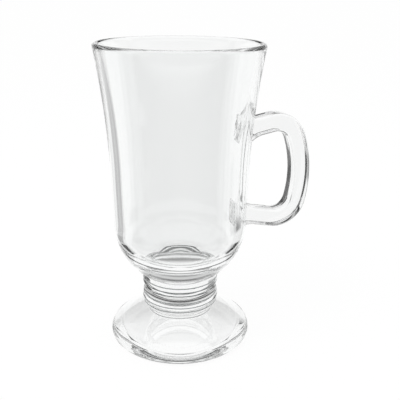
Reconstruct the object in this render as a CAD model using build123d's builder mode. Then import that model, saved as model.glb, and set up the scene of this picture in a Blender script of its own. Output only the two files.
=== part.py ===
from build123d import *
import math
import os

# A footed glass mug for hot coffee. It stands on the plane z = 0, with its axis on Z and its handle towards +X.
# Sizes are in millimetres. The stem and the bowl are stacked up from the foot, piece on piece.

# Foot: a domed disc on a flat ring, hollowed a little underneath
foot_radius = 36.3
foot_edge_height = 3.0
foot_edge_roll = 4.0
foot_dome_slope = 35.0
foot_height = 14.7
rest_ring_outer_radius = 33.0
rest_ring_inner_radius = 27.5
underside_hollow = 3.0

# Stem: a short neck on the foot and two rounded rings
neck_foot_radius = 16.8
neck_waist_inset = 0.5
neck_height = 2.9
neck_top_radius = 18.2
lower_ring_radius = 19.5
lower_ring_height = 9.1
ring_groove_radius = 17.9
upper_ring_radius = 19.4
upper_ring_height = 8.2

# Bowl: a round bottom, an almost straight body and a flared mouth, heights measured from the bowl's base
bowl_base_radius = 18.4
bowl_height = 115.1
rim_radius = 40.5
lip_thickness = 3.0
lip_rounding = 1.44
flare_start_rise = 51.0
flare_start_radius = 33.9
shoulder_rise = 27.0
shoulder_radius = 33.3
body_wall = 4.5
floor_thickness = 9.5
floor_corner_rounding = 14.0

# Handle: one bar bent to a D and fused to the wall at both ends, heights measured from the bowl's base
handle_reach = 64.2
grip_rise = 47.7
upper_arm_rise = 28.0
lower_arm_drop = 22.9
grip_bend_radius = 60.0
corner_bend_radius = 11.8
arm_slope = 11.2
handle_thickness = 9.1
handle_depth = 10.0
handle_edge_rounding = 1.3
root_flare = 1.6
root_spread = 0.4
root_flare_length = 6.0

# Joint planes of the stack
neck_base = foot_height
lower_ring_base = neck_base + neck_height
upper_ring_base = lower_ring_base + lower_ring_height
bowl_base = upper_ring_base + upper_ring_height
mug_height = bowl_base + bowl_height

# Points of the bowl's wall, as (radius, height)
base_corner = Vector(bowl_base_radius, bowl_base)
shoulder = Vector(shoulder_radius, bowl_base + shoulder_rise)
flare_start = Vector(flare_start_radius, bowl_base + flare_start_rise)
outer_lip = Vector(rim_radius, mug_height)
inner_lip = Vector(rim_radius - lip_thickness, mug_height)
inner_flare_start = flare_start - Vector(body_wall, 0)
floor_centre = Vector(0, bowl_base + floor_thickness)

# The inside of the body is parallel to its outside, down to where the rounded floor corner starts
body_lean = math.atan2(flare_start_radius - shoulder_radius, flare_start_rise - shoulder_rise)
down_the_wall = Vector(-math.sin(body_lean), -math.cos(body_lean))
floor_corner_height = floor_centre.Y + floor_corner_rounding * (1 - math.sin(body_lean))
inner_body_run = (inner_flare_start.Y - floor_corner_height) / math.cos(body_lean)
floor_corner_start = inner_flare_start + down_the_wall * inner_body_run


def draw_bowl_outside():
    # The outside of the wall, from the flat base up to the lip
    Line(shoulder, flare_start)
    TangentArc(shoulder, base_corner, tangent=down_the_wall)
    TangentArc(flare_start, outer_lip, tangent=-down_the_wall)
    Line(base_corner, (0, bowl_base))


def draw_ring(base, height, bottom_radius, crest_radius, top_radius):
    # Half of a rounded ring, with flat faces where it joins its neighbours
    bottom = Vector(bottom_radius, base)
    top = Vector(top_radius, base + height)
    Line((0, base), bottom)
    ThreePointArc(bottom, (crest_radius, base + height / 2), top)
    Line(top, (0, base + height))
    Line((0, base + height), (0, base))


os.makedirs("parts", exist_ok=True)

# Foot
with BuildPart() as foot:
    with BuildSketch(Plane.XZ):
        with BuildLine():
            edge = Vector(foot_radius, foot_edge_height)
            roll = JernArc(edge, (0, 1), foot_edge_roll, 90 - foot_dome_slope)
            TangentArc(roll @ 1, (neck_foot_radius, foot_height), tangent=roll % 1)
            Line((neck_foot_radius, foot_height), (0, foot_height))
            Line((0, foot_height), (0, underside_hollow))
            TangentArc((0, underside_hollow), (rest_ring_inner_radius, 0), tangent=(1, 0))
            Line((rest_ring_inner_radius, 0), (rest_ring_outer_radius, 0))
            TangentArc(edge, (rest_ring_outer_radius, 0), tangent=(0, -1))
        make_face()
    revolve(axis=Axis.Z)
foot.part.label = "foot"
export_step(foot.part, "parts/foot.step")

# Stem neck
with BuildPart() as stem_neck:
    with BuildSketch(Plane.XZ):
        with BuildLine():
            neck_bottom = Vector(neck_foot_radius, neck_base)
            neck_top = Vector(neck_top_radius, lower_ring_base)
            waist = (neck_bottom + neck_top) / 2 - Vector(neck_waist_inset, 0)
            Line((0, neck_base), neck_bottom)
            ThreePointArc(neck_bottom, waist, neck_top)
            Line(neck_top, (0, lower_ring_base))
            Line((0, lower_ring_base), (0, neck_base))
        make_face()
    revolve(axis=Axis.Z)
stem_neck.part.label = "stem_neck"
export_step(stem_neck.part, "parts/stem_neck.step")

# Lower ring of the stem
with BuildPart() as lower_ring:
    with BuildSketch(Plane.XZ):
        with BuildLine():
            draw_ring(lower_ring_base, lower_ring_height, neck_top_radius, lower_ring_radius, ring_groove_radius)
        make_face()
    revolve(axis=Axis.Z)
lower_ring.part.label = "lower_stem_ring"
export_step(lower_ring.part, "parts/lower_stem_ring.step")

# Upper ring of the stem
with BuildPart() as upper_ring:
    with BuildSketch(Plane.XZ):
        with BuildLine():
            draw_ring(upper_ring_base, upper_ring_height, ring_groove_radius, upper_ring_radius, bowl_base_radius)
        make_face()
    revolve(axis=Axis.Z)
upper_ring.part.label = "upper_stem_ring"
export_step(upper_ring.part, "parts/upper_stem_ring.step")

# Bowl
with BuildPart() as bowl:
    with BuildSketch(Plane.XZ) as bowl_section:
        with BuildLine():
            draw_bowl_outside()
            Line(outer_lip, inner_lip)
            TangentArc(inner_flare_start, inner_lip, tangent=-down_the_wall)
            Line(inner_flare_start, floor_corner_start)
            corner_turn = math.degrees(body_lean) - 90
            floor_corner = JernArc(floor_corner_start, down_the_wall, floor_corner_rounding, corner_turn)
            Line(floor_corner @ 1, floor_centre)
            Line(floor_centre, (0, bowl_base))
        make_face()
        fillet(bowl_section.vertices().group_by(Axis.Y)[-1], lip_rounding)
    revolve(axis=Axis.Z)
bowl.part.label = "bowl"
export_step(bowl.part, "parts/bowl.step")

# The bowl as a full solid, which the handle's ends are cut to fit
with BuildPart() as bowl_form:
    with BuildSketch(Plane.XZ):
        with BuildLine():
            draw_bowl_outside()
            Line(outer_lip, (0, mug_height))
            Line((0, mug_height), (0, bowl_base))
        make_face()
    revolve(axis=Axis.Z)

# Centre line of the handle, as (radius, height): each half bends a little along the grip, then round a corner
# into its arm, and the arm runs on into the wall
bend_difference = grip_bend_radius - corner_bend_radius
upper_sweep = math.degrees(math.asin((upper_arm_rise - corner_bend_radius) / bend_difference))
lower_sweep = math.degrees(math.asin((lower_arm_drop - corner_bend_radius) / bend_difference))
grip_point = Vector(handle_reach, bowl_base + grip_rise)
with BuildLine() as centre_line:
    upper_grip = JernArc(grip_point, (0, 1), grip_bend_radius, upper_sweep)
    upper_corner = JernArc(upper_grip @ 1, upper_grip % 1, corner_bend_radius, 90 + arm_slope - upper_sweep)
    lower_grip = JernArc(grip_point, (0, -1), grip_bend_radius, -lower_sweep)
    lower_corner = JernArc(lower_grip @ 1, lower_grip % 1, corner_bend_radius, lower_sweep - 90 - arm_slope)
    for corner in (upper_corner, lower_corner):
        arm_length = (floor_corner_start.X - (corner @ 1).X) / (corner % 1).X
        Line(corner @ 1, corner @ 1 + (corner % 1) * arm_length)
handle_path = Plane.XZ * centre_line.wire()

# Where the two arms meet the outside of the wall, and the way into it
roots = []
for end, inward in ((handle_path @ 0, -(handle_path % 0)), (handle_path @ 1, handle_path % 1)):
    crossings = bowl_form.part.find_intersection_points(Axis(end, inward))
    roots.append((max((point for point, normal in crossings), key=lambda point: point.X), inward))

# Handle
with BuildPart() as handle:
    sunk_flare = root_flare * (1 + body_wall / root_flare_length)
    sunk_spread = root_spread * (1 + body_wall / root_flare_length)
    for root, inward in roots:
        with BuildSketch(Plane(root - inward * root_flare_length, x_dir=(0, 1, 0), z_dir=inward)):
            RectangleRounded(handle_depth, handle_thickness, handle_edge_rounding)
        with BuildSketch(Plane(root + inward * body_wall, x_dir=(0, 1, 0), z_dir=inward)):
            RectangleRounded(
                handle_depth + 2 * sunk_spread,
                handle_thickness + 2 * sunk_flare,
                handle_edge_rounding + sunk_spread,
            )
        loft()
    with BuildSketch(Plane(handle_path @ 0, x_dir=(0, 1, 0), z_dir=handle_path % 0)):
        RectangleRounded(handle_depth, handle_thickness, handle_edge_rounding)
    sweep(path=handle_path)
    add(bowl_form.part, mode=Mode.SUBTRACT)
handle.part.label = "handle"
export_step(handle.part, "parts/handle.step")

print(f"mug height {mug_height:.1f} mm")
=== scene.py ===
from math import asin, atan2, cos, hypot, pi, radians, sin, tan

import bpy
from mathutils import Euler, Matrix


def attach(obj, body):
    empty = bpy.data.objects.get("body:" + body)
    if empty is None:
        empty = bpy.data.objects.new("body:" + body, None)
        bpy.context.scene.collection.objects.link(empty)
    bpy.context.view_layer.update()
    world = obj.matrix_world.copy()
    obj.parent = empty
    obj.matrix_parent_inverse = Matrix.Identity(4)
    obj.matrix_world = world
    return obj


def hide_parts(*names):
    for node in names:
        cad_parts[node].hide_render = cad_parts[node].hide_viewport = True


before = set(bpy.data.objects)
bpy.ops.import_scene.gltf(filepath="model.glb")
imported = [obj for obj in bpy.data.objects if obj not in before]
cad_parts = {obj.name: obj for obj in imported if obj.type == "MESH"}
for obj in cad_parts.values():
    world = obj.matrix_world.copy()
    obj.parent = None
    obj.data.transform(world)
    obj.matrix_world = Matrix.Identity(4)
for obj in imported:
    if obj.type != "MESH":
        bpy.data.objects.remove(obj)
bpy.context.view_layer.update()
scene = bpy.context.scene
mm = 0.001
print("frame loaded:", ", ".join(sorted(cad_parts)))


# Profiles are lists of (radius, height) in mm, and a heading is an angle from the radius towards up
def arcTurn(path, heading, bend, sweep, steps):  # a positive bend and sweep turn left
    x, z = path[-1]
    centreX, centreZ = x - bend * sin(heading), z + bend * cos(heading)
    for step in range(1, steps + 1):
        angle = heading - pi / 2 + sweep * step / steps
        path.append((centreX + bend * cos(angle), centreZ + bend * sin(angle)))
    return heading + sweep


def arcTo(path, heading, end, steps, shortBy=0.0):  # shortBy stops the arc that many mm before its end
    dx, dz = end[0] - path[-1][0], end[1] - path[-1][1]
    sweep = 2 * atan2(dz * cos(heading) - dx * sin(heading), dx * cos(heading) + dz * sin(heading))
    bend = hypot(dx, dz) / (2 * sin(sweep / 2))
    return arcTurn(path, heading, bend, sweep - shortBy / bend, steps)


def arcThrough(path, middle, end, steps):
    x, z = path[-1]
    chord = atan2(end[1] - z, end[0] - x)
    toMiddle = atan2(middle[1] - z, middle[0] - x)
    fromMiddle = atan2(end[1] - middle[1], end[0] - middle[0])
    return arcTo(path, chord - (fromMiddle - toMiddle), end, steps)


def lineTo(path, end, steps=1):
    x, z = path[-1]
    for step in range(1, steps + 1):
        path.append((x + (end[0] - x) * step / steps, z + (end[1] - z) * step / steps))


meshFinish = {"mergeWithin": 0.004, "smoothBelow": 32, "seamSlack": 0.02}


def pick(piece):
    bpy.ops.object.select_all(action="DESELECT")
    piece.select_set(True)
    bpy.context.view_layer.objects.active = piece


def closeMesh():  # in edit mode: seams and poles merged, faces turned outwards
    bpy.ops.mesh.select_all(action="SELECT")
    bpy.ops.mesh.remove_doubles(threshold=meshFinish["mergeWithin"] * mm)
    bpy.ops.mesh.normals_make_consistent(inside=False)
    bpy.ops.object.mode_set(mode="OBJECT")
    bpy.ops.object.shade_smooth_by_angle(angle=radians(meshFinish["smoothBelow"]))


def latheGlass(name, profile, steps=192):  # drawn vertex by vertex, then spun round the mug's axis
    bpy.ops.object.select_all(action="DESELECT")
    bpy.ops.mesh.primitive_plane_add(size=0.01, location=(0, 0, 0))
    piece = bpy.context.active_object
    piece.name = piece.data.name = name
    bpy.ops.object.mode_set(mode="EDIT")
    bpy.ops.mesh.select_all(action="SELECT")
    bpy.ops.mesh.merge(type="CENTER")
    bpy.ops.transform.translate(value=(profile[0][0] * mm, 0, profile[0][1] * mm))
    for (r0, z0), (r1, z1) in zip(profile, profile[1:]):
        move = ((r1 - r0) * mm, 0, (z1 - z0) * mm)
        bpy.ops.mesh.extrude_vertices_move(TRANSFORM_OT_translate={"value": move})
    bpy.ops.mesh.select_all(action="SELECT")
    bpy.ops.mesh.spin(steps=steps, angle=2 * pi, center=(0, 0, 0), axis=(0, 0, 1))
    closeMesh()
    return piece


def liesAt(face, height):
    return abs(face.center.z - height * mm) < meshFinish["seamSlack"] * mm


def dress(piece, glass, *heights):  # the flat faces at these heights melt into the next piece
    piece.data.materials.append(glass)
    piece.data.materials.append(fusedSeam)
    for face in piece.data.polygons:
        if any(liesAt(face, height) for height in heights):
            face.material_index = 1


def settle(piece, node):
    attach(piece, "root")
    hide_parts(node)


# Glass
finishLook = {"rippleDetail": 1.0, "rippleRoughness": 0.35, "smudgeDetail": 4.0, "smudgeFrom": 0.5,
              "smudgeFull": 0.85, "smudgeMost": 0.04}


def makeGlassFinish():  # faint tint, smudges and the ripples that the mould leaves
    group = bpy.data.node_groups.new("pressedGlassFinish", "ShaderNodeTree")
    for name, kind in (("Vector", "NodeSocketVector"), ("Ripple Scale", "NodeSocketFloat"),
                       ("Smudge Scale", "NodeSocketFloat"), ("Thin Tint", "NodeSocketColor"),
                       ("Deep Tint", "NodeSocketColor")):
        group.interface.new_socket(name, in_out="INPUT", socket_type=kind)
    for name, kind in (("Tint", "NodeSocketColor"), ("Smudge", "NodeSocketFloat"),
                       ("Ripple", "NodeSocketFloat")):
        group.interface.new_socket(name, in_out="OUTPUT", socket_type=kind)
    nodes, links = group.nodes, group.links
    given, result = nodes.new("NodeGroupInput"), nodes.new("NodeGroupOutput")

    ripple = nodes.new("ShaderNodeTexNoise")
    ripple.inputs["Detail"].default_value = finishLook["rippleDetail"]
    ripple.inputs["Roughness"].default_value = finishLook["rippleRoughness"]
    links.new(given.outputs["Vector"], ripple.inputs["Vector"])
    links.new(given.outputs["Ripple Scale"], ripple.inputs["Scale"])
    links.new(ripple.outputs["Fac"], result.inputs["Ripple"])

    smudge = nodes.new("ShaderNodeTexNoise")
    smudge.inputs["Detail"].default_value = finishLook["smudgeDetail"]
    links.new(given.outputs["Vector"], smudge.inputs["Vector"])
    links.new(given.outputs["Smudge Scale"], smudge.inputs["Scale"])
    faint = nodes.new("ShaderNodeMapRange")
    faint.inputs["From Min"].default_value = finishLook["smudgeFrom"]
    faint.inputs["From Max"].default_value = finishLook["smudgeFull"]
    faint.inputs["To Max"].default_value = finishLook["smudgeMost"]
    links.new(smudge.outputs["Fac"], faint.inputs["Value"])
    links.new(faint.outputs["Result"], result.inputs["Smudge"])

    tint = nodes.new("ShaderNodeMix")
    tint.data_type = "RGBA"
    links.new(ripple.outputs["Fac"], tint.inputs["Factor"])
    links.new(given.outputs["Thin Tint"], tint.inputs[6])
    links.new(given.outputs["Deep Tint"], tint.inputs[7])
    links.new(tint.outputs[2], result.inputs["Tint"])
    return group


def makeGlass(name, look):
    material = bpy.data.materials.new(name)
    material.use_nodes = True
    nodes, links = material.node_tree.nodes, material.node_tree.links
    shader = nodes["Principled BSDF"]
    shader.inputs["Transmission Weight"].default_value = 1.0
    shader.inputs["IOR"].default_value = look["ior"]
    place, stretch = nodes.new("ShaderNodeTexCoord"), nodes.new("ShaderNodeMapping")
    stretch.inputs["Scale"].default_value = look["stretch"]
    finish = nodes.new("ShaderNodeGroup")
    finish.node_tree = glassFinish
    finish.inputs["Ripple Scale"].default_value = look["rippleScale"]
    finish.inputs["Smudge Scale"].default_value = look["smudgeScale"]
    finish.inputs["Thin Tint"].default_value = look["thinTint"]
    finish.inputs["Deep Tint"].default_value = look["deepTint"]
    bump = nodes.new("ShaderNodeBump")
    bump.inputs["Strength"].default_value = look["rippleStrength"]
    bump.inputs["Distance"].default_value = look["rippleDepth"] * mm
    links.new(place.outputs["Object"], stretch.inputs["Vector"])
    links.new(stretch.outputs["Vector"], finish.inputs["Vector"])
    links.new(finish.outputs["Tint"], shader.inputs["Base Color"])
    links.new(finish.outputs["Smudge"], shader.inputs["Roughness"])
    links.new(finish.outputs["Ripple"], bump.inputs["Height"])
    links.new(bump.outputs["Normal"], shader.inputs["Normal"])
    return material


def makeFusedSeam():  # where two pieces of glass have run into one
    material = bpy.data.materials.new("fusedSeam")
    material.use_nodes = True
    shader = material.node_tree.nodes["Principled BSDF"]
    shader.inputs["Base Color"].default_value = (1, 1, 1, 1)
    shader.inputs["Alpha"].default_value = 0.0
    return material


glassFinish = makeGlassFinish()
bowlGlassLook = {
    "ior": 1.5, "stretch": (1, 1, 0.25), "rippleScale": 90, "smudgeScale": 60, "rippleStrength": 0.2,
    "rippleDepth": 0.05, "thinTint": (0.985, 0.99, 0.988, 1), "deepTint": (0.955, 0.963, 0.962, 1)}
stemGlassLook = {
    "ior": 1.5, "stretch": (1, 1, 1), "rippleScale": 120, "smudgeScale": 80, "rippleStrength": 0.15,
    "rippleDepth": 0.05, "thinTint": (0.985, 0.99, 0.988, 1), "deepTint": (0.96, 0.968, 0.966, 1)}
handleGlassLook = {
    "ior": 1.5, "stretch": (1, 1, 1), "rippleScale": 110, "smudgeScale": 80, "rippleStrength": 0.15,
    "rippleDepth": 0.05, "thinTint": (0.99, 0.994, 0.993, 1), "deepTint": (0.97, 0.976, 0.975, 1)}
# The turned lines' glass is painted shade: its near-black tints darken the line faces in their colour
paintedShadeLineLook = {**stemGlassLook, "thinTint": (0.14, 0.15, 0.15, 1), "deepTint": (0.06, 0.07, 0.07, 1)}
bowlGlass = makeGlass("bowlGlass", bowlGlassLook)
stemGlass = makeGlass("stemGlass", stemGlassLook)
handleGlass = makeGlass("handleGlass", handleGlassLook)
paintedShadeLineGlass = makeGlass("paintedShadeLineGlass", paintedShadeLineLook)
fusedSeam = makeFusedSeam()
print("glass mixed")

# Heights where the pieces are fused, and the radius of each joint
joint = {"neckBase": 14.7, "lowerRingBase": 17.6, "upperRingBase": 26.7, "bowlBase": 34.9, "rim": 150.0,
         "footTop": 16.8, "neckTop": 18.2, "groove": 17.9, "bowlBottom": 18.4}

# Foot
footShape = {"radius": 36.3, "edgeHeight": 3.0, "edgeRoll": 4.0, "domeSlope": 35.0, "ringOuter": 33.0,
             "ringInner": 27.5, "hollow": 3.0}
path = [(0, footShape["hollow"])]
arcTo(path, 0, (footShape["ringInner"], 0), 40)
lineTo(path, (footShape["ringOuter"], 0), 3)
edge = [(footShape["radius"], footShape["edgeHeight"])]
arcTo(edge, -pi / 2, path[-1], 14)
path += edge[-2::-1]
heading = arcTurn(path, pi / 2, footShape["edgeRoll"], radians(90 - footShape["domeSlope"]), 20)
arcTo(path, heading, (joint["footTop"], joint["neckBase"]), 40)
lineTo(path, (0, joint["neckBase"]))
foot = latheGlass("foot_glass", path)
dress(foot, stemGlass, joint["neckBase"])
print("foot turned:", len(foot.data.polygons), "faces")

# Neck of the stem
neckShape = {"waistInset": 0.5}
waist = ((joint["footTop"] + joint["neckTop"]) / 2 - neckShape["waistInset"],
         (joint["neckBase"] + joint["lowerRingBase"]) / 2)
path = [(0, joint["neckBase"]), (joint["footTop"], joint["neckBase"])]
arcThrough(path, waist, (joint["neckTop"], joint["lowerRingBase"]), 16)
lineTo(path, (0, joint["lowerRingBase"]))
neck = latheGlass("stem_neck_glass", path)
dress(neck, stemGlass, joint["neckBase"], joint["lowerRingBase"])

# The two rings of the stem
ringShape = {"lowerCrest": 19.5, "upperCrest": 19.4, "bands": 4, "bandSteps": 10,
             "lineDepth": 0.2, "lineHalf": 0.3, "lineProfile": ((-1, 0), (-0.3, 1), (0.3, 1), (1, 0))}


def turnRing(name, base, top, baseRadius, crest, topRadius):  # fine turned lines part each ring into bands
    path, arc, lines = [(0, base), (baseRadius, base)], [(baseRadius, base)], []
    arcThrough(arc, (crest, (base + top) / 2), (topRadius, top), ringShape["bands"] * ringShape["bandSteps"])
    for step, (r, z) in enumerate(arc[1:-1], 1):
        if step % ringShape["bandSteps"]:
            path.append((r, z))
        else:
            lines.append(z)
            for rise, dip in ringShape["lineProfile"]:
                path.append((r - dip * ringShape["lineDepth"], z + rise * ringShape["lineHalf"]))
    path.append((topRadius, top))
    lineTo(path, (0, top))
    ring = latheGlass(name, path)
    dress(ring, stemGlass, base, top)
    # each turned line's faces take the dark line glass, which paints shade along the lines
    ring.data.materials.append(paintedShadeLineGlass)
    for face in ring.data.polygons:
        if any(abs(face.center.z - z * mm) < ringShape["lineHalf"] * mm for z in lines):
            face.material_index = 2
    return ring


lowerRing = turnRing("lower_stem_ring_glass", joint["lowerRingBase"], joint["upperRingBase"],
                     joint["neckTop"], ringShape["lowerCrest"], joint["groove"])
upperRing = turnRing("upper_stem_ring_glass", joint["upperRingBase"], joint["bowlBase"],
                     joint["groove"], ringShape["upperCrest"], joint["bowlBottom"])
print("stem turned")

# Bowl
bowlShape = {"rimRadius": 40.5, "lip": 3.0, "lipRounding": 1.44, "flareStart": (33.9, 85.9),
             "shoulder": (33.3, 61.9), "wall": 4.5, "floor": 9.5, "floorCorner": 14.0}
shoulder, flareStart, rounding = bowlShape["shoulder"], bowlShape["flareStart"], bowlShape["lipRounding"]
upTheBody = atan2(flareStart[1] - shoulder[1], flareStart[0] - shoulder[0])


def drawFlare(path, start, end, turn):  # up the flare and round the lip: turn is 1 outside, -1 inside
    atLip = 2 * atan2(end[1] - start[1], end[0] - start[0]) - upTheBody
    corner = pi - atLip if turn > 0 else atLip
    heading = arcTo(path, upTheBody, end, 40, rounding * tan(corner / 2))
    arcTurn(path, heading, turn * rounding, pi - heading if turn > 0 else -heading, 14)


bottom = [shoulder]
arcTo(bottom, upTheBody + pi, (joint["bowlBottom"], joint["bowlBase"]), 44)
path = [(0, joint["bowlBase"])] + bottom[::-1]
lineTo(path, flareStart, 16)
drawFlare(path, flareStart, (bowlShape["rimRadius"], joint["rim"]), 1)
wallLine = path[1:]

inside = [(flareStart[0] - bowlShape["wall"], flareStart[1])]
drawFlare(inside, inside[0], (bowlShape["rimRadius"] - bowlShape["lip"], joint["rim"]), -1)
path += inside[::-1]
floorHeight = joint["bowlBase"] + bowlShape["floor"]
cornerHeight = floorHeight + bowlShape["floorCorner"] * (1 - cos(upTheBody))
lineTo(path, (path[-1][0] - (path[-1][1] - cornerHeight) / tan(upTheBody), cornerHeight), 16)
arcTurn(path, upTheBody + pi, -bowlShape["floorCorner"], -upTheBody, 40)
lineTo(path, (0, floorHeight))
bowl = latheGlass("bowl_glass", path)
print("bowl turned:", len(bowl.data.polygons), "faces")

# Handle
handleShape = {"reach": 64.2, "gripHeight": 82.6, "upperRise": 28.0, "lowerDrop": 22.9, "gripBend": 60.0,
               "cornerBend": 11.8, "armSlope": 11.2, "thickness": 9.1, "depth": 10.0, "rounding": 1.3,
               "rootFlare": 1.6, "rootSpread": 0.4, "flareLength": 6.0, "sunk": 2.0, "rootTries": 8,
               "swellSteps": 14, "edgeSteps": 9, "cornerSteps": 30, "gripSteps": 36}
slope = radians(handleShape["armSlope"])


def wallRadiusAt(height):
    for (r0, z0), (r1, z1) in zip(wallLine, wallLine[1:]):
        if z0 <= height < z1:
            return r0 + (r1 - r0) * (height - z0) / (z1 - z0)


def armRun(corner, side):  # length of a straight arm, from the end of its corner to the wall
    endX = corner[0] - handleShape["cornerBend"] * sin(slope)
    endZ = corner[1] + side * handleShape["cornerBend"] * cos(slope)
    run = 0.0
    for step in range(handleShape["rootTries"]):
        run = (endX - wallRadiusAt(endZ - side * run * sin(slope))) / cos(slope)
    return run, (endX, endZ)


def sectionAt(fromWall):  # thickness and depth of the bar, which swells towards its root
    swell = 2 * max(0.0, 1 - fromWall / handleShape["flareLength"]) ** 2
    return (handleShape["thickness"] + handleShape["rootFlare"] * swell,
            handleShape["depth"] + handleShape["rootSpread"] * swell)


def pullArm(start, side, outwards, run):  # extrudes the bar along an arm, in short steps where it swells
    flare, swellSteps = handleShape["flareLength"], handleShape["swellSteps"]
    stops = [-handleShape["sunk"]] + [flare * step / swellSteps for step in range(-2, swellSteps + 1)] + [run]
    if not outwards:
        stops = stops[::-1]
    x, z = start
    for before, after in zip(stops, stops[1:]):
        dx, dz = (after - before) * cos(slope) * mm, side * (after - before) * sin(slope) * mm
        x, z = x + dx, z + dz
        bpy.ops.mesh.extrude_region_move(TRANSFORM_OT_translate={"value": (dx, 0, dz)})
        (thick0, deep0), (thick1, deep1) = sectionAt(before), sectionAt(after)
        grow = (thick1 / thick0, deep1 / deep0, thick1 / thick0)
        bpy.ops.transform.resize(value=grow, center_override=(x, 0, z))


inner = handleShape["gripBend"] - handleShape["cornerBend"]
upperSweep = asin((handleShape["upperRise"] - handleShape["cornerBend"]) / inner)
lowerSweep = asin((handleShape["lowerDrop"] - handleShape["cornerBend"]) / inner)
gripCentre = (handleShape["reach"] - handleShape["gripBend"], handleShape["gripHeight"])
upperCorner = (gripCentre[0] + inner * cos(upperSweep), gripCentre[1] + inner * sin(upperSweep))
lowerCorner = (gripCentre[0] + inner * cos(lowerSweep), gripCentre[1] - inner * sin(lowerSweep))
upperRun, upperEnd = armRun(upperCorner, 1)
lowerRun, lowerEnd = armRun(lowerCorner, -1)
sunkRun = upperRun + handleShape["sunk"]
rootX, rootZ = upperEnd[0] - sunkRun * cos(slope), upperEnd[1] - sunkRun * sin(slope)
thick, deep = sectionAt(-handleShape["sunk"])

bpy.ops.object.select_all(action="DESELECT")
bpy.ops.mesh.primitive_plane_add(size=1, location=(rootX * mm, 0, rootZ * mm),
                                 rotation=(0, pi / 2 - slope, 0))
handle = bpy.context.active_object
handle.name = handle.data.name = "handle_glass"
handle.scale = (thick * mm, deep * mm, 1)
bpy.ops.object.transform_apply(location=True, rotation=True, scale=True)
bpy.ops.object.mode_set(mode="EDIT")
bpy.ops.mesh.select_all(action="SELECT")
bpy.ops.mesh.bevel(offset=handleShape["rounding"] * thick / handleShape["thickness"] * mm,
                   segments=handleShape["edgeSteps"], affect="VERTICES")
pullArm((rootX * mm, rootZ * mm), 1, True, upperRun)
for centre, turn, steps in ((upperCorner, pi / 2 + slope - upperSweep, handleShape["cornerSteps"]),
                            (gripCentre, upperSweep + lowerSweep, handleShape["gripSteps"]),
                            (lowerCorner, pi / 2 + slope - lowerSweep, handleShape["cornerSteps"])):
    bpy.ops.mesh.spin(steps=steps, angle=turn, center=(centre[0] * mm, 0, centre[1] * mm), axis=(0, -1, 0))
pullArm((lowerEnd[0] * mm, lowerEnd[1] * mm), -1, False, lowerRun)
closeMesh()
print("handle bent:", len(handle.data.polygons), "faces")


# The handle's roots are cut to the wall, and each root leaves a fused patch on the bowl
patchCorners = 24  # only a patch has more corners than this


def twinOf(piece):
    pick(piece)
    bpy.ops.object.duplicate()
    twin = bpy.context.active_object
    for face in twin.data.polygons:
        face.material_index = 1
    return twin


def cutWith(piece, other, operation):
    pick(piece)
    cut = piece.modifiers.new("rootCut", "BOOLEAN")
    cut.object, cut.operation, cut.solver, cut.material_mode = other, operation, "EXACT", "INDEX"
    bpy.ops.object.modifier_apply(modifier=cut.name)


dress(bowl, bowlGlass)
dress(handle, handleGlass)
bowlTwin, handleTwin = twinOf(bowl), twinOf(handle)
cutWith(handle, bowlTwin, "DIFFERENCE")
cutWith(bowl, handleTwin, "UNION")
for twin in (bowlTwin, handleTwin):
    bpy.data.objects.remove(twin)
pick(bowl)
bpy.ops.object.mode_set(mode="EDIT")
bpy.ops.mesh.select_mode(type="FACE")
bpy.ops.mesh.select_all(action="DESELECT")
bpy.ops.object.mode_set(mode="OBJECT")
for face in bowl.data.polygons:
    face.select = face.material_index == 1
bpy.ops.object.mode_set(mode="EDIT")
bpy.ops.mesh.delete(type="FACE")
bpy.ops.mesh.select_all(action="SELECT")
bpy.ops.mesh.fill_holes(sides=0)
bpy.ops.object.mode_set(mode="OBJECT")
print("roots fused:", len(bowl.data.polygons), "and", len(handle.data.polygons), "faces")
for face in bowl.data.polygons:
    if len(face.vertices) > patchCorners or liesAt(face, joint["bowlBase"]):
        face.material_index = 1

for piece, node in ((foot, "foot"), (neck, "stem_neck"), (lowerRing, "lower_stem_ring"),
                    (upperRing, "upper_stem_ring"), (bowl, "bowl"), (handle, "handle")):
    settle(piece, node)

# Camera
cameraView = {"place": (10.0, -288.07, 174.57), "pitch": 19.4, "roll": 0.586, "turn": -17.0, "lens": 54.8}
turned = Matrix.Rotation(radians(cameraView["turn"]), 4, "Z")
aim = Euler((radians(90 - cameraView["pitch"]), 0, 0)).to_matrix().to_4x4()
bpy.ops.object.camera_add()
camera = bpy.context.active_object
camera.data.lens = cameraView["lens"]
camera.data.clip_start = 0.01
camera.matrix_world = (turned @ Matrix.Translation([value * mm for value in cameraView["place"]]) @ aim
                       @ Matrix.Rotation(radians(cameraView["roll"]), 4, "Z"))
scene.camera = camera
scene.view_settings.view_transform = "Standard"
print("camera placed")

# Studio: a pale floor in a white surround, with a dark strip and cards that the glass alone shows
studioLook = {"floorSize": 24.0, "floorColour": (0.9, 0.9, 0.9, 1), "floorRoughness": 0.8, "floorGlow": 0.95,
              "middle": 0.08, "flagRadius": 1.2, "flagEdge": 4.0, "flagFaces": 360, "bounces": 48}
surroundLook = (  # tone of the surround by angle above the horizon
    (-90, 0.9), (-66, 0.9), (-57, 1), (9.5, 1), (12, 0.05), (17, 0.05), (19, 0.25), (23, 0.25),
    (25, 0.55), (29, 0.55), (31, 0.05), (35, 0.05), (37, 0.5), (42, 0.6), (44, 1), (90, 1))
softboxLook = {"place": (-0.5, -0.2, 0.9), "tilt": (-12, -28, 0), "size": 0.5, "energy": 4}
flagLook = {  # angles round from behind the mug, then up, and the tone
    "front": (92, 268, -30, 13, 0.06),
    "sideLeft": (-75, -35, -46, -24, 0.05), "sideRight": (35, 75, -46, -21, 0.02),
    "handleSide": (-60, -34, -26, -12, 0.5),
    "lightLeft": (-100, -47, 19, 40, 1.0), "lightRight": (47, 100, 19, 40, 1.0)}


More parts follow.
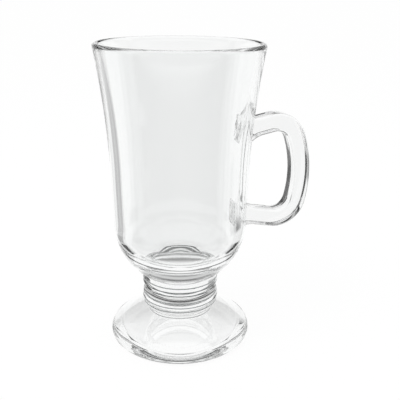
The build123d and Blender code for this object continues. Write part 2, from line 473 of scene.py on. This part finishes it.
def addStage(name, glassOnly):  # the active object becomes part of the studio
    thing = bpy.context.active_object
    thing.name = thing.data.name = name
    if glassOnly:
        thing.visible_camera = thing.visible_diffuse = thing.visible_shadow = False
    else:
        thing.visible_transmission = thing.visible_glossy = False
    paint = bpy.data.materials.new(name + "Paint")
    paint.use_nodes = True
    thing.data.materials.append(paint)
    return thing, paint.node_tree.nodes, paint.node_tree.links


def addFlag(name, left, right, low, high, tone):  # a curved, soft-edged card that goes where the camera goes
    radius, half = studioLook["flagRadius"], (right - left) / 2
    bottom, top = (radius * tan(radians(angle)) for angle in (low, high))
    bpy.ops.mesh.primitive_cylinder_add(
        vertices=studioLook["flagFaces"], radius=radius, depth=top - bottom, end_fill_type="NOTHING",
        location=(0, 0, studioLook["middle"] + (bottom + top) / 2),
        rotation=(0, 0, radians(cameraView["turn"] + 90 - (left + right) / 2)))
    flag, nodes, links = addStage(name + "Flag", True)
    bpy.ops.object.mode_set(mode="EDIT")
    bpy.ops.mesh.select_mode(type="FACE")
    bpy.ops.mesh.select_all(action="DESELECT")
    bpy.ops.object.mode_set(mode="OBJECT")
    for face in flag.data.polygons:
        face.select = abs(atan2(face.center.y, face.center.x)) > radians(half)
    bpy.ops.object.mode_set(mode="EDIT")
    bpy.ops.mesh.delete(type="FACE")
    bpy.ops.object.mode_set(mode="OBJECT")

    place, sweep, axes, glow, most = (
        nodes.new("ShaderNodeTexCoord"), nodes.new("ShaderNodeTexGradient"),
        nodes.new("ShaderNodeSeparateXYZ"), nodes.new("ShaderNodeEmission"), nodes.new("ShaderNodeMath"))
    sweep.gradient_type = "RADIAL"
    most.operation = "MAXIMUM"
    links.new(place.outputs["Object"], sweep.inputs["Vector"])
    links.new(place.outputs["Object"], axes.inputs["Vector"])
    edge = studioLook["flagEdge"] / 360
    for slot, (socket, middle, reach, soft) in enumerate((
            (sweep.outputs["Fac"], 0.5, half / 360, edge),
            (axes.outputs["Z"], 0.0, (top - bottom) / 2, radius * 2 * pi * edge))):
        off, size, fade = (nodes.new("ShaderNodeMath"), nodes.new("ShaderNodeMath"),
                           nodes.new("ShaderNodeMapRange"))
        off.operation = "SUBTRACT"
        off.inputs[1].default_value = middle
        size.operation = "ABSOLUTE"
        fade.interpolation_type = "SMOOTHSTEP"
        fade.inputs["From Min"].default_value = reach - soft
        fade.inputs["From Max"].default_value = reach
        fade.inputs["To Min"].default_value = tone
        links.new(socket, off.inputs[0])
        links.new(off.outputs["Value"], size.inputs[0])
        links.new(size.outputs["Value"], fade.inputs["Value"])
        links.new(fade.outputs["Result"], most.inputs[slot])
    links.new(most.outputs["Value"], glow.inputs["Strength"])
    links.new(glow.outputs["Emission"], nodes["Material Output"].inputs["Surface"])
    bpy.context.view_layer.update()
    flag.parent = camera
    flag.matrix_parent_inverse = camera.matrix_world.inverted()


bpy.ops.object.select_all(action="DESELECT")
bpy.ops.mesh.primitive_plane_add(size=studioLook["floorSize"], location=(0, 0, 0))
nodes, links = addStage("studioFloor", False)[1:]
paint = nodes["Principled BSDF"]
paint.inputs["Base Color"].default_value = studioLook["floorColour"]
paint.inputs["Roughness"].default_value = studioLook["floorRoughness"]
glow, blend, ray, share = (nodes.new("ShaderNodeEmission"), nodes.new("ShaderNodeMixShader"),
                           nodes.new("ShaderNodeLightPath"), nodes.new("ShaderNodeMath"))
share.operation = "MULTIPLY"
share.inputs[1].default_value = studioLook["floorGlow"]
links.new(ray.outputs["Is Camera Ray"], share.inputs[0])
links.new(share.outputs["Value"], blend.inputs["Fac"])
links.new(paint.outputs["BSDF"], blend.inputs[1])
links.new(glow.outputs["Emission"], blend.inputs[2])
links.new(blend.outputs["Shader"], nodes["Material Output"].inputs["Surface"])
for name, span in flagLook.items():
    addFlag(name, *span)

world = bpy.data.worlds.new("studioSurround")
scene.world = world
world.use_nodes = True
nodes, links = world.node_tree.nodes, world.node_tree.links
place, axes, rise, strip, ray, either, shown = (
    nodes.new("ShaderNodeTexCoord"), nodes.new("ShaderNodeSeparateXYZ"), nodes.new("ShaderNodeMapRange"),
    nodes.new("ShaderNodeValToRGB"), nodes.new("ShaderNodeLightPath"), nodes.new("ShaderNodeMath"),
    nodes.new("ShaderNodeMix"))
rise.inputs["From Min"].default_value = -1.0
either.operation = "MAXIMUM"
shown.data_type = "RGBA"
shown.inputs[6].default_value = (1, 1, 1, 1)
stops = strip.color_ramp.elements
while len(stops) < len(surroundLook):
    stops.new(0.5)
for stop, (elevation, tone) in zip(stops, surroundLook):
    stop.position = (sin(radians(elevation)) + 1) / 2
    stop.color = (tone, tone, tone, 1)
links.new(place.outputs["Generated"], axes.inputs["Vector"])
links.new(axes.outputs["Z"], rise.inputs["Value"])
links.new(rise.outputs["Result"], strip.inputs["Fac"])
links.new(ray.outputs["Is Glossy Ray"], either.inputs[0])
links.new(ray.outputs["Is Transmission Ray"], either.inputs[1])
links.new(either.outputs["Value"], shown.inputs["Factor"])
links.new(strip.outputs["Color"], shown.inputs[7])
links.new(shown.outputs[2], nodes["Background"].inputs["Color"])

bpy.ops.object.light_add(type="AREA", location=softboxLook["place"])
softbox = bpy.context.active_object
softbox.data.shape = "DISK"
softbox.data.size = softboxLook["size"]
softbox.data.energy = softboxLook["energy"]
softbox.rotation_euler = [radians(angle) for angle in softboxLook["tilt"]]
softbox.visible_glossy = softbox.visible_transmission = False
scene.cycles.max_bounces = studioLook["bounces"]  # thick glass hands light on many times
scene.cycles.transmission_bounces = scene.cycles.glossy_bounces = studioLook["bounces"]
scene.cycles.transparent_max_bounces = studioLook["bounces"]
print("studio set")
